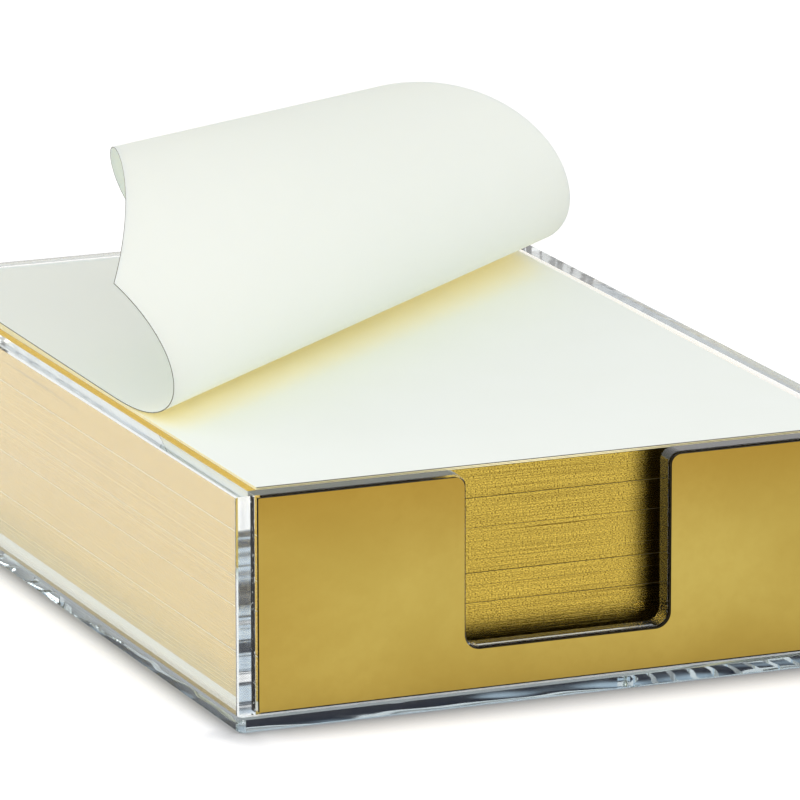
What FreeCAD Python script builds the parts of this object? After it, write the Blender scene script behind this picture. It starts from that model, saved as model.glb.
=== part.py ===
# Memo sheet tray: clear acrylic walls on a base plate, a brass plate bonded to the front wall,
# and a stack of loose gilt-edged sheets, the top one curled back.
# Millimetres, +Z up, front towards -Y. Origin: centre of the base plate's underside.

import FreeCAD, Part
import math
import os
import re
import Sketcher
from FreeCAD import Placement, Rotation, Vector

NEAR = 0.01          # tolerance when edges are picked by place
SIDE_PHASE = 2.4     # radians from one sheet group to the next in the sideways stagger
LENGTH_PHASE = 3.7   # the same in the lengthways stagger

doc = FreeCAD.newDocument("MemoTray")

# ------------------------------------------------------------------ driving sizes

DRIVING = [
    # sheets of 4 x 6 inch note paper
    ("SheetWidth", 101.6),
    ("SheetLength", 152.4),
    ("SheetThickness", 0.15),
    ("SheetGap", 0.05),
    ("StackHeight", 34.0),
    ("GroupCount", 14),
    ("GroupStagger", 0.12),
    # room between the stack and the walls
    ("LeftClearance", 2.9),
    ("RightClearance", 0.5),
    ("FrontClearance", 3.2),
    ("BackClearance", 3.4),
    # acrylic walls and base plate
    ("WallThickness", 3.0),
    ("WallHeight", 35.0),
    ("WallEase", 0.25),
    ("BaseThickness", 2.5),
    ("BaseLip", 0.3),
    ("BaseFrontLip", 1.2),
    ("BaseCornerRadius", 1.2),
    ("BaseEase", 0.35),
    # thumb notch in the front wall
    ("NotchWidth", 34.5),
    ("NotchSill", 7.0),
    ("NotchCornerRadius", 2.2),
    ("NotchShoulderRadius", 2.0),
    # brass face plate and the film that bonds it
    ("PlateThickness", 0.5),
    ("FilmThickness", 0.1),
    ("PlateMargin", 0.4),
    # loose sheets under the top one, lifted towards the back
    ("LiftedCount", 2),
    ("LiftAngle", 0.51),
    ("LiftFrom", 60.0),
    ("LiftRun", 20.0),
    # curl of the top sheet, along its diagonal from the back left corner
    ("CurlStart", 63.8),
    ("CurlFull", 100.5),
    ("CurlTurn", 110.7),
    ("CurlRadius", 18.7),
    ("CurlAxisStart", 43.4),
    ("CurlAxisRoll", 35.7),
    ("CurlAxisEnd", 52.2),
    ("CurlTip", 2.5),
    ("TopSheetSlip", 0.9),
]

# sizes that follow from the driving ones
DERIVED = [
    ("InnerWidth", "LeftClearance + SheetWidth + RightClearance"),
    ("InnerLength", "FrontClearance + SheetLength + BackClearance"),
    ("TrayWidth", "InnerWidth + 2 * WallThickness"),
    ("TrayLength", "InnerLength + 2 * WallThickness"),
    ("BaseWidth", "TrayWidth + 2 * BaseLip"),
    ("BaseLength", "TrayLength + BaseFrontLip + BaseLip"),
    ("TrayFront", "BaseFrontLip - BaseLength / 2"),
    ("StackLeft", "LeftClearance - InnerWidth / 2"),
    ("StackFront", "TrayFront + WallThickness + FrontClearance"),
    ("StackTop", "BaseThickness + StackHeight"),
    ("GroupHeight", "StackHeight / GroupCount"),
]

sizes = doc.addObject("Spreadsheet::Sheet", "Sizes")
for row, (alias, value) in enumerate(DRIVING + DERIVED, start=1):
    text = str(value) if isinstance(value, (int, float)) else "=" + value
    sizes.set("A%d" % row, alias)
    sizes.set("B%d" % row, text)
    sizes.setAlias("B%d" % row, alias)
doc.recompute()


def size(alias):
    """The number in a named cell."""
    return float(sizes.get(alias))


def bound(formula):
    """A formula of cell names, as an expression that another object can hold."""
    return re.sub(r"[A-Z][A-Za-z]+", lambda word: "Sizes." + word.group(), formula)


def number(formula):
    """The present value of a formula of cell names."""
    return float(sizes.evalExpression(bound(formula)))


# ------------------------------------------------------------------ sketch and body helpers

pieces = []


def new_body(name, x, y, z):
    """A piece whose own corner sits at three formulas."""
    body = doc.addObject("PartDesign::Body", name)
    body.Label = name
    for axis, formula in zip("xyz", (x, y, z)):
        body.setExpression("Placement.Base." + axis, bound(formula))
    pieces.append(body)
    return body


def new_sketch(body, role):
    """A sketch on one of the body's own origin planes."""
    plane = next(item for item in body.Origin.OriginFeatures if item.Role == role)
    sketch = body.newObject("Sketcher::SketchObject", body.Name + "_outline")
    sketch.AttachmentSupport = [(plane, "")]
    sketch.MapMode = "FlatFace"
    return sketch


def dimension(sketch, name, kind, places, formula):
    """A named dimension of a sketch that follows a formula."""
    index = sketch.addConstraint(Sketcher.Constraint(kind, *places, number(formula)))
    sketch.renameConstraint(index, name)
    sketch.setExpression("Constraints." + name, bound(formula))


def rectangle(sketch, width, depth):
    """A rectangle with its corner on the sketch's origin."""
    right = number(width)
    top = number(depth)
    corners = [Vector(0, 0), Vector(right, 0), Vector(right, top), Vector(0, top)]
    for here, there in zip(corners, corners[1:] + corners[:1]):
        sketch.addGeometry(Part.LineSegment(here, there))
    for line in range(4):
        sketch.addConstraint(Sketcher.Constraint("Coincident", line, 2, (line + 1) % 4, 1))
        level = "Horizontal" if line % 2 == 0 else "Vertical"
        sketch.addConstraint(Sketcher.Constraint(level, line))
    sketch.addConstraint(Sketcher.Constraint("Coincident", 0, 1, -1, 1))
    dimension(sketch, "Width", "DistanceX", (0, 1, 0, 2), width)
    dimension(sketch, "Depth", "DistanceY", (1, 1, 1, 2), depth)


def notched_panel(sketch, width, height, notch, sill, corner, shoulder):
    """A panel outline with a U notch in its top edge, rounded at its foot and its shoulders."""
    right = number(width)
    top = number(height)
    half_notch = number(notch) / 2
    floor = number(sill)
    foot = number(corner)
    bend = number(shoulder)
    west = right / 2 - half_notch
    east = right / 2 + half_notch
    quarter = math.pi / 2

    def line(x1, y1, x2, y2):
        sketch.addGeometry(Part.LineSegment(Vector(x1, y1), Vector(x2, y2)))

    def arc(x, y, radius, first):
        circle = Part.Circle(Vector(x, y), Vector(0, 0, 1), radius)
        sketch.addGeometry(Part.ArcOfCircle(circle, first * quarter, (first + 1) * quarter))

    line(0, 0, right, 0)
    line(right, 0, right, top)
    line(right, top, east + bend, top)
    arc(east + bend, top - bend, bend, 1)
    line(east, top - bend, east, floor + foot)
    arc(east - foot, floor + foot, foot, 3)
    line(east - foot, floor, west + foot, floor)
    arc(west + foot, floor + foot, foot, 2)
    line(west, floor + foot, west, top - bend)
    arc(west - bend, top - bend, bend, 0)
    line(west - bend, top, 0, top)
    line(0, top, 0, 0)

    for level, lines in (("Horizontal", (0, 2, 6, 10)), ("Vertical", (1, 4, 8, 11))):
        for index in lines:
            sketch.addConstraint(Sketcher.Constraint(level, index))
    # the foot arcs run against the outline, so their ends are taken the other way round
    for first, second in ((0, 1), (1, 2), (10, 11), (11, 0)):
        sketch.addConstraint(Sketcher.Constraint("Coincident", first, 2, second, 1))
    for places in ((2, 2, 3, 1), (3, 2, 4, 1), (4, 2, 5, 2), (5, 1, 6, 1),
                   (6, 2, 7, 2), (7, 1, 8, 1), (8, 2, 9, 1), (9, 2, 10, 1)):
        sketch.addConstraint(Sketcher.Constraint("Tangent", *places))
    sketch.addConstraint(Sketcher.Constraint("Coincident", 0, 1, -1, 1))
    sketch.addConstraint(Sketcher.Constraint("Equal", 1, 11))
    sketch.addConstraint(Sketcher.Constraint("Equal", 5, 7))
    sketch.addConstraint(Sketcher.Constraint("Equal", 3, 9))
    dimension(sketch, "Width", "DistanceX", (0, 1, 0, 2), width)
    dimension(sketch, "Height", "DistanceY", (1, 1, 1, 2), height)
    dimension(sketch, "NotchLeft", "DistanceX", (-1, 1, 8, 1), "(%s - (%s)) / 2" % (width, notch))
    dimension(sketch, "NotchWidth", "DistanceX", (8, 1, 4, 2), notch)
    dimension(sketch, "NotchSill", "DistanceY", (-1, 1, 6, 1), sill)
    dimension(sketch, "NotchCorner", "Radius", (5,), corner)
    dimension(sketch, "NotchShoulder", "Radius", (3,), shoulder)


def pad(body, sketch, length):
    """A straight extrusion of a sketch along its plane's normal."""
    feature = body.newObject("PartDesign::Pad", body.Name + "_pad")
    feature.Profile = sketch
    feature.setExpression("Length", bound(length))
    doc.recompute()
    return feature


def edges_where(feature, test):
    """Names of the edges of a feature whose centre passes a test."""
    found = []
    for index, edge in enumerate(feature.Shape.Edges, start=1):
        if test(edge.CenterOfMass):
            found.append("Edge%d" % index)
    return found


def dress(body, kind, feature, test, formula):
    """A fillet or a chamfer on the edges that pass a test."""
    names = edges_where(feature, test)
    dressed = body.newObject("PartDesign::" + kind, body.Name + "_" + kind.lower())
    dressed.Base = (feature, names)
    dressed.setExpression("Radius" if kind == "Fillet" else "Size", bound(formula))
    doc.recompute()
    return dressed


# ------------------------------------------------------------------ acrylic tray

def make_base():
    """Base plate, a little proud of the walls all round and most at the front."""
    body = new_body("base_plate", "-BaseWidth / 2", "-BaseLength / 2", "0")
    sketch = new_sketch(body, "XY_Plane")
    rectangle(sketch, "BaseWidth", "BaseLength")
    plate = pad(body, sketch, "BaseThickness")
    middle = size("BaseThickness") / 2
    rounded = dress(body, "Fillet", plate, lambda at: abs(at.z - middle) < middle / 2, "BaseCornerRadius")
    dress(body, "Chamfer", rounded, lambda at: abs(at.z - middle) > middle / 2, "BaseEase")


def make_side_wall(name, left, outer_side):
    """Side wall over the tray's whole length, its outer edges eased."""
    body = new_body(name, left, "TrayFront", "BaseThickness")
    sketch = new_sketch(body, "XY_Plane")
    rectangle(sketch, "WallThickness", "TrayLength")
    wall = pad(body, sketch, "WallHeight")
    outside = size("WallThickness") * outer_side
    top = size("WallHeight")
    middle = size("TrayLength") / 2

    def outer_edge(at):
        along_top = abs(at.z - top) < NEAR and abs(at.y - middle) < NEAR
        upright = abs(at.z - top / 2) < NEAR
        return abs(at.x - outside) < NEAR and (along_top or upright)

    dress(body, "Chamfer", wall, outer_edge, "WallEase")


def make_back_wall():
    """Back wall, captured between the side walls."""
    body = new_body("back_wall", "-InnerWidth / 2", "TrayFront + TrayLength - WallThickness", "BaseThickness")
    sketch = new_sketch(body, "XY_Plane")
    rectangle(sketch, "InnerWidth", "WallThickness")
    pad(body, sketch, "WallHeight")


def make_front_wall():
    """Front wall between the side walls, with the thumb notch."""
    body = new_body("front_wall", "-InnerWidth / 2", "TrayFront + WallThickness", "BaseThickness")
    sketch = new_sketch(body, "XZ_Plane")
    notched_panel(sketch, "InnerWidth", "WallHeight", "NotchWidth", "NotchSill",
                  "NotchCornerRadius", "NotchShoulderRadius")
    pad(body, sketch, "WallThickness")


def make_face_layer(name, back, thickness):
    """One of the two layers on the front wall, held back from the wall's outline all round."""
    body = new_body(name, "PlateMargin - InnerWidth / 2", back, "BaseThickness + PlateMargin")
    sketch = new_sketch(body, "XZ_Plane")
    notched_panel(sketch, "InnerWidth - 2 * PlateMargin", "WallHeight - 2 * PlateMargin",
                  "NotchWidth + 2 * PlateMargin", "NotchSill - 2 * PlateMargin",
                  "NotchCornerRadius + PlateMargin", "NotchShoulderRadius - PlateMargin")
    pad(body, sketch, thickness)


make_base()
make_side_wall("left_wall", "-TrayWidth / 2", 0)
make_side_wall("right_wall", "InnerWidth / 2", 1)
make_back_wall()
make_front_wall()
make_face_layer("face_film", "TrayFront", "FilmThickness")
make_face_layer("face_plate", "TrayFront - FilmThickness", "PlateThickness")


# ------------------------------------------------------------------ flat sheets

def make_group(index):
    """A run of sheets of the stack, knocked up a little unevenly with its neighbours."""
    level = "BaseThickness + %d * GroupHeight" % index
    aside = "StackLeft + GroupStagger * %.3f" % math.sin(SIDE_PHASE * index)
    along = "StackFront + GroupStagger * %.3f" % math.cos(LENGTH_PHASE * index)
    body = new_body("sheet_group_%02d" % (index + 1), aside, along, level)
    sketch = new_sketch(body, "XY_Plane")
    rectangle(sketch, "SheetWidth", "SheetLength")
    pad(body, sketch, "GroupHeight")


for group in range(int(size("GroupCount"))):
    make_group(group)


# ------------------------------------------------------------------ bent sheets

FOLDS = 1200         # folds that stand for a smooth bend
SECTION_STEP = 1.0   # most that two sections of a bend lie apart along the diagonal
HALVINGS = 40        # steps of a search for a corner


class BentSheet:
    """A sheet of paper bent along lines that cross its diagonal.

    The sheet lies flat in its own plane, its front left corner at the origin. At a distance along
    the diagonal from the back left corner to the front right one, the law gives the curvature
    and the angle of the line that stays straight there. The paper is carried through many small
    folds on such lines, so the bent sheet keeps its flat lengths. The seat places the paper
    before the first fold.
    """

    def __init__(self, law, seat, bend_from, bend_to):
        self.law = law
        self.bend_from = bend_from
        self.bend_to = bend_to
        self.width = size("SheetWidth")
        self.length = size("SheetLength")
        self.start = Vector(0, self.length, 0)
        self.diagonal = Vector(self.width, -self.length, 0)
        self.places = [seat]
        step = self.diagonal.Length / FOLDS
        for index in range(FOLDS):
            along = (index + 0.5) * step
            at, line, ahead = self.ruling(along)
            advance = step * self.diagonal.dot(ahead) / self.diagonal.Length
            turn = Rotation(-line, math.degrees(law(along)[0] * advance))
            self.places.append(self.places[-1].multiply(Placement(Vector(0, 0, 0), turn, at)))

    def ruling(self, along):
        """A point on the straight line at a distance, the line's direction and the way ahead."""
        at = self.start + self.diagonal * (along / self.diagonal.Length)
        angle = self.law(along)[1]
        line = Vector(math.cos(angle), math.sin(angle), 0)
        return at, line, Vector(line.y, -line.x, 0)

    def place(self, along):
        """Where the paper lies at a distance along the diagonal."""
        return self.places[min(FOLDS, int(along / self.diagonal.Length * FOLDS + 0.5))]

    def ahead_of(self, point, along):
        """How far a point of the flat sheet lies ahead of the straight line at a distance."""
        at, _, ahead = self.ruling(along)
        return (point - at).dot(ahead)

    def crossing(self, corner):
        """The distance at which the straight line passes through a corner of the sheet."""
        near = 0.0
        far = self.diagonal.Length
        for _ in range(HALVINGS):
            middle = (near + far) / 2
            if self.ahead_of(corner, middle) > 0:
                near = middle
            else:
                far = middle
        return far

    def flat_part(self, along, side):
        """The corners of the sheet's part behind (-1) or ahead of (1) the line at a distance."""
        outline = [Vector(0, 0), Vector(self.width, 0), Vector(self.width, self.length), self.start]
        kept = []
        for here, there in zip(outline, outline[1:] + outline[:1]):
            near = self.ahead_of(here, along) * side
            far = self.ahead_of(there, along) * side
            if near >= 0:
                kept.append(here)
            if near * far < 0:
                kept.append(here + (there - here) * (near / (near - far)))
        return kept

    def ends(self, along):
        """Both ends of the straight line at a distance, on the flat sheet's edges."""
        at, line, _ = self.ruling(along)
        back = [(0 - at.x) / line.x]
        front = [(self.width - at.x) / line.x]
        if abs(line.y) > NEAR:
            back.append((0 - at.y) / line.y)
            front.append((self.length - at.y) / line.y)
        return at + line * max(back), at + line * min(front)

    def section(self, along):
        """The paper's cut face on the straight line at a distance."""
        place = self.place(along)
        up = place.Rotation.multVec(Vector(0, 0, size("SheetThickness")))
        near, far = (place.multVec(end) for end in self.ends(along))
        return Part.makePolygon([near, far, far + up, near + up, near])

    def stretch(self, near, far):
        """The solid between two distances with no corner of the sheet between them."""
        strips = math.ceil((far - near) / SECTION_STEP)
        share = (far - near) / strips
        sections = [self.section(near + share * index) for index in range(strips + 1)]
        return Part.makeLoft(sections, True, True)

    def flat_end(self, along, side):
        """The solid of the flat part of the sheet behind or ahead of a distance."""
        corners = self.flat_part(along, side)
        face = Part.Face(Part.makePolygon(corners + corners[:1]))
        solid = face.extrude(Vector(0, 0, size("SheetThickness")))
        solid.Placement = self.place(along)
        return solid

    def solid(self):
        """The whole sheet, as one solid."""
        corners = [self.crossing(Vector(0, 0)), self.crossing(Vector(self.width, self.length))]
        inside = sorted(along for along in corners if self.bend_from < along < self.bend_to)
        stops = [self.bend_from] + inside + [self.bend_to]
        stretches = [self.stretch(near, far) for near, far in zip(stops, stops[1:])]
        first = self.flat_end(self.bend_from, -1)
        return first.fuse(stretches + [self.flat_end(self.bend_to, 1)])


def add_sheet(name, sheet):
    """A bent sheet as a piece, its own corner on the stack's front left corner."""
    piece = doc.addObject("Part::Feature", name)
    piece.Label = name
    piece.Shape = sheet.solid()
    corner = Vector(size("StackLeft"), size("StackFront"), size("StackTop"))
    piece.Placement = Placement(corner, Rotation())
    pieces.append(piece)


def ramp(along, stations):
    """A value between (distance, value) stations, level beyond the first and the last."""
    if along <= stations[0][0]:
        return stations[0][1]
    for (near, low), (far, high) in zip(stations, stations[1:]):
        if along <= far:
            return low + (high - low) * (along - near) / (far - near)
    return stations[-1][1]


def tilted_seat(angle, level, slip):
    """A sheet plane that rises backwards from the lift line by an angle."""
    pivot = Vector(0, size("LiftFrom"), 0)
    turn = Rotation(Vector(1, 0, 0), angle)
    return Placement(Vector(0, slip, level), turn, pivot)


def lifted_level(rank):
    """Height over the stack of a loose sheet, counted from 1."""
    return rank * size("SheetGap") + (rank - 1) * size("SheetThickness")


def make_lifted_sheet(rank):
    """A loose sheet, flat at the front and lifted from the lift line backwards."""
    share = rank / (size("LiftedCount") + 1)
    angle = size("LiftAngle") * share
    diagonal = math.hypot(size("SheetWidth"), size("SheetLength"))
    scale = diagonal / size("SheetLength")
    bend_from = (size("SheetLength") - size("LiftFrom") - size("LiftRun") / 2) * scale
    bend_to = bend_from + size("LiftRun") * scale
    curvature = math.radians(angle) / size("LiftRun")

    def law(along):
        inside = bend_from <= along <= bend_to
        return (curvature if inside else 0.0), 0.0

    seat = tilted_seat(angle, lifted_level(rank), 0)
    add_sheet("lifted_sheet_%d" % rank, BentSheet(law, seat, bend_from, bend_to))


def make_top_sheet():
    """The top sheet: flat at the back left, then rolled up and over from its front edge."""
    diagonal = math.hypot(size("SheetWidth"), size("SheetLength"))
    tip = diagonal - size("CurlTip")
    roll = 1 / size("CurlRadius")
    bends = [(size("CurlStart"), 0.0), (size("CurlFull"), roll)]
    axes = [
        (size("CurlStart"), math.radians(size("CurlAxisStart"))),
        (size("CurlFull"), math.radians(size("CurlAxisRoll"))),
        (size("CurlTurn"), math.radians(size("CurlAxisRoll"))),
        (diagonal, math.radians(size("CurlAxisEnd"))),
    ]

    def law(along):
        curvature = ramp(along, bends) if along < tip else 0.0
        return curvature, ramp(along, axes)

    level = lifted_level(size("LiftedCount") + 1)
    seat = tilted_seat(size("LiftAngle"), level, size("TopSheetSlip"))
    add_sheet("top_sheet", BentSheet(law, seat, size("CurlStart"), tip))


for rank in range(1, int(size("LiftedCount")) + 1):
    make_lifted_sheet(rank)
make_top_sheet()


# ------------------------------------------------------------------ checks and export

doc.recompute()
for item in doc.Objects:
    if "Invalid" in item.State or "Error" in item.State:
        raise RuntimeError("%s did not recompute" % item.Label)

sheet_volume = size("SheetWidth") * size("SheetLength") * size("SheetThickness")
group_volume = size("SheetWidth") * size("SheetLength") * size("GroupHeight")
plate_area = size("BaseWidth") * size("BaseLength")
wall_volume = size("WallThickness") * size("TrayLength") * size("WallHeight")
expected = {
    "sheet_group": (group_volume * 0.999, group_volume * 1.001),
    "lifted_sheet": (sheet_volume * 0.995, sheet_volume * 1.005),
    "top_sheet": (sheet_volume * 0.98, sheet_volume * 1.02),
    "base_plate": (plate_area * size("BaseThickness") * 0.95, plate_area * size("BaseThickness")),
    "left_wall": (wall_volume * 0.98, wall_volume * 0.9999),
    "right_wall": (wall_volume * 0.98, wall_volume * 0.9999),
}

os.makedirs("parts", exist_ok=True)
for piece in pieces:
    shape = piece.Shape
    if shape.isNull() or not shape.isValid() or len(shape.Solids) != 1:
        raise RuntimeError("%s is not one valid solid" % piece.Label)
    for start, (least, most) in expected.items():
        if piece.Label.startswith(start) and not least <= shape.Volume <= most:
            raise RuntimeError("%s has volume %.1f" % (piece.Label, shape.Volume))
    shape.exportStep("parts/%s.step" % piece.Label)
    box = shape.BoundBox
    print("%-16s %9.1f mm3  x %7.2f..%7.2f  y %7.2f..%7.2f  z %6.2f..%6.2f" % (
        piece.Label, shape.Volume, box.XMin, box.XMax, box.YMin, box.YMax, box.ZMin, box.ZMax))
print(len(pieces), "pieces")
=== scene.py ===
# %% [markdown]
# # A clear tray of gilt-edged memo sheets
#
# The object is a desk tray: four clear acrylic walls on a clear base plate, a thin brass plate
# bonded to the front, and a stack of loose sheets with gilded edges. The top sheet is curled back.
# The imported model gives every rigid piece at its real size. This notebook dresses it: it gives each
# piece a finish, cuts the stack into single leaves, and rebuilds the curled sheet smoothly. The
# rigid pieces could be modelled again here, but a second set of sizes would soon drift apart.

# %% Load the model as a fixed frame
import bisect
import math
import random

import bmesh
import bpy
from mathutils import Matrix, Vector


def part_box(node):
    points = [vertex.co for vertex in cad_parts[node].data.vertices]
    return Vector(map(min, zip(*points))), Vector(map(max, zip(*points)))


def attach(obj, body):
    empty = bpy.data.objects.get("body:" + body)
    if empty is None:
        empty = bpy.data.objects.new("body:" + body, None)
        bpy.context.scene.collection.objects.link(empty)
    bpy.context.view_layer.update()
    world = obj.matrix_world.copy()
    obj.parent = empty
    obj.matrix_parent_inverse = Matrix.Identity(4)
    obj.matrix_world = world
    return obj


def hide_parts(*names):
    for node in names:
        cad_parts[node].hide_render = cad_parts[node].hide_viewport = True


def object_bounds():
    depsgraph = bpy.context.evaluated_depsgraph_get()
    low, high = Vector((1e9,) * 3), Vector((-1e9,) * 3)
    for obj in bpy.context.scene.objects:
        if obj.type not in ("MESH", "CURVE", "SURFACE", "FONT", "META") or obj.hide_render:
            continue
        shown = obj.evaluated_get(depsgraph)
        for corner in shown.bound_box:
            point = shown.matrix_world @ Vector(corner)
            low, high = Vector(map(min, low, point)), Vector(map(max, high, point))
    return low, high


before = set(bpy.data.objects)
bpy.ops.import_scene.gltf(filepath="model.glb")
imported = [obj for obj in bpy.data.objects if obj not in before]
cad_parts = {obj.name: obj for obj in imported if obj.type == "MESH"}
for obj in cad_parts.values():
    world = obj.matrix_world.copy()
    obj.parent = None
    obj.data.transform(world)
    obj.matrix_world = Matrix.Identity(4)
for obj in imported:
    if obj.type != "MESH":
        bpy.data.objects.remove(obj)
cad_low, cad_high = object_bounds()
MM = 0.001
print("tray, width and depth in mm:", [round((cad_high[i] - cad_low[i]) / MM, 1) for i in (0, 1)])

# %% [markdown]
# ## Small helpers
#
# Every finish below is a node tree, and every tree needs the same three moves: make a node, set its
# values, and link it. They could be written out each time, which hides the idea behind the typing.
# So one helper does all three, and the others name the few nodes that come up again and again.
# Colours are written as they look on a screen, from 0 to 255, and turned into the linear values
# that the renderer works with.

# %% Helpers for colours and nodes


def linear(red, green, blue):
    """A screen colour from 0 to 255 as the renderer's linear values."""
    def channel(value):
        share = value / 255
        return share / 12.92 if share <= 0.04045 else ((share + 0.055) / 1.055) ** 2.4
    return (channel(red), channel(green), channel(blue), 1.0)


def add(tree, kind, inputs=None, **settings):
    """A node with its settings and its inputs: a socket is linked, anything else is a value."""
    node = tree.nodes.new(kind)
    for name, value in settings.items():
        setattr(node, name, value)
    for name, value in (inputs or {}).items():
        if isinstance(value, bpy.types.NodeSocket):
            tree.links.new(value, node.inputs[name])
        else:
            node.inputs[name].default_value = value
    return node


def maths(tree, operation, *values):
    """One step of arithmetic on numbers or sockets."""
    return add(tree, "ShaderNodeMath", dict(enumerate(values)), operation=operation).outputs[0]


def between(tree, value, low, high, out_low=0.0, out_high=1.0):
    """A value carried smoothly from one range to another."""
    node = add(tree, "ShaderNodeMapRange", {0: value, 1: low, 2: high, 3: out_low, 4: out_high},
               interpolation_type="SMOOTHSTEP")
    return node.outputs[0]


def mixed(tree, share, first, second, blend_type="MIX"):
    """Two colours mixed, or multiplied, by a share."""
    node = add(tree, "ShaderNodeMix", {0: share, 6: first, 7: second},
               data_type="RGBA", blend_type=blend_type)
    return node.outputs[2]


print("colour and node helpers ready")

# %% [markdown]
# ## Where a point lies
#
# A finish on a real thing follows the thing: grain runs along an edge, and patches wander over a
# plate. An image texture could show that, but it needs an unwrapped mesh and blurs close up. A
# noise in the object's own coordinates stays sharp, and stays put when the object moves.

# %% Helpers for places and noise
X, Y, Z = 0, 1, 2


def own_point(tree):
    """The object's own coordinates, in metres."""
    return add(tree, "ShaderNodeTexCoord").outputs["Object"]


def parts_of(tree, vector):
    """The x, y and z of a vector."""
    return add(tree, "ShaderNodeSeparateXYZ", {0: vector}).outputs


def noise(tree, point, scale=1.0, detail=2.0, **more):
    """The grey value of a noise."""
    inputs = {"Vector": point, "Scale": scale, "Detail": detail, **more}
    return add(tree, "ShaderNodeTexNoise", inputs).outputs[0]


print("place and noise helpers ready")

# %% [markdown]
# ## Grain of the leaf edges
#
# A cut stack of paper shows a thin line per leaf, and some leaves look darker along part of their
# length. Real grooves would need millions of faces, so it is noise: stretched along the leaf,
# squeezed in height, and read in the object's own coordinates. More than one finish needs it, so
# it is a node group with named sockets, built once and placed wherever it is wanted.

# %% Node group: leaf edge grain
DARK_STRETCH = (0.35, 1.0, 0.13)
DARK_FROM = 0.62
DARK_FULL = 0.74


def new_group(name, inputs, outputs):
    """An empty node group with number sockets, and the sockets inside it."""
    group = bpy.data.node_groups.new(name, "ShaderNodeTree")
    for label, value in inputs.items():
        socket = group.interface.new_socket(label, in_out="INPUT", socket_type="NodeSocketFloat")
        socket.default_value = value
    for label in outputs:
        group.interface.new_socket(label, in_out="OUTPUT", socket_type="NodeSocketFloat")
    given = group.nodes.new("NodeGroupInput").outputs
    result = group.nodes.new("NodeGroupOutput").inputs
    return group, given, result


def use_group(tree, group, **values):
    """The outputs of a node group placed in a tree, with its own values."""
    node = tree.nodes.new("ShaderNodeGroup")
    node.node_tree = group
    for name, value in values.items():
        node.inputs[name.replace("_", " ")].default_value = value
    return node.outputs


def build_leaf_edge_grain():
    """Lines along the leaves, and a mask of the leaves that look dark."""
    group, given, result = new_group(
        "Leaf edge grain", {"Leaf pitch": 0.15 * MM, "Streak length": 30.0 * MM},
        ["Height", "Dark leaves"])
    place = parts_of(group, own_point(group))
    around = maths(group, "SUBTRACT", place[X], place[Y])
    along = maths(group, "DIVIDE", around, given["Streak length"])
    rank = maths(group, "DIVIDE", place[Z], given["Leaf pitch"])
    point = add(group, "ShaderNodeCombineXYZ", {0: along, 2: rank}).outputs[0]
    wide = add(group, "ShaderNodeVectorMath", {0: point, 1: DARK_STRETCH}, operation="MULTIPLY")
    fine = noise(group, point, detail=3.0, Roughness=0.6)
    dark = between(group, noise(group, wide.outputs[0]), DARK_FROM, DARK_FULL)
    group.links.new(fine, result["Height"])
    group.links.new(dark, result["Dark leaves"])
    return group


LEAF_EDGE_GRAIN = build_leaf_edge_grain()
print("node group:", LEAF_EDGE_GRAIN.name)

# %% [markdown]
# ## Cloudy mottle
#
# Rolled metal and cast plastic are never quite even: soft large patches lie over a finer
# unevenness. A tiled image would show its repeat, and a noise never does. The group gives both
# scales, and each material decides whether they change its tone, its gloss or its height.

# %% Node group: cloudy mottle
FINE_RATIO = 14.0


def build_cloudy_mottle():
    """Soft patches and a finer unevenness."""
    group, given, result = new_group("Cloudy mottle", {"Patch size": 12.0 * MM},
                                     ["Patches", "Fine"])
    scale = maths(group, "DIVIDE", 1.0, given["Patch size"])
    point = add(group, "ShaderNodeVectorMath", {0: own_point(group), "Scale": scale},
                operation="SCALE").outputs[0]
    patches = noise(group, point, detail=4.0, Distortion=0.6)
    fine = noise(group, point, scale=FINE_RATIO, detail=3.0)
    group.links.new(patches, result["Patches"])
    group.links.new(fine, result["Fine"])
    return group


CLOUDY_MOTTLE = build_cloudy_mottle()
print("node group:", CLOUDY_MOTTLE.name)

# %% [markdown]
# ## Paper tooth
#
# Uncoated paper is a felt of fibres: matt, a little rough, and faintly clouded when light comes
# through it. Fibres could be modelled only for a view through a magnifying glass. A fine noise as a
# height and a coarse one as a mask do it at any distance.

# %% Node group: paper tooth
CLOUDS_PER_METRE = 60.0


def build_paper_tooth():
    """The felt of the paper as a height, and its clouds as a mask."""
    group, given, result = new_group("Paper tooth", {"Felt size": 0.4 * MM}, ["Height", "Cloud"])
    place = own_point(group)
    felt = noise(group, place, scale=maths(group, "DIVIDE", 1.0, given["Felt size"]))
    cloud = noise(group, place, scale=CLOUDS_PER_METRE)
    group.links.new(felt, result["Height"])
    group.links.new(cloud, result["Cloud"])
    return group


PAPER_TOOTH = build_paper_tooth()
print("node group:", PAPER_TOOTH.name)

# %% [markdown]
# ## Cast ripple
#
# Acrylic sheet isn't quite flat, and its sawn ends keep the saw's marks. Both bend what is seen
# through them far more than their tiny height suggests. More faces in the mesh could carry the
# waves, but the pieces keep their real shape, so the waves are a height for a bump. The group takes
# one size along the piece and another one upwards.

# %% Node group: cast ripple


def build_cast_ripple():
    """Smooth waves, with one size along the piece and one upwards."""
    group, given, result = new_group("Cast ripple", {"Along": 30.0 * MM, "Upward": 4.0 * MM},
                                     ["Height"])
    size = add(group, "ShaderNodeCombineXYZ", {0: given["Along"], 1: given["Along"],
                                               2: given["Upward"]}).outputs[0]
    point = add(group, "ShaderNodeVectorMath", {0: own_point(group), 1: size}, operation="DIVIDE")
    group.links.new(noise(group, point.outputs[0], detail=0.0), result["Height"])
    return group


CAST_RIPPLE = build_cast_ripple()
print("node group:", CAST_RIPPLE.name)

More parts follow.
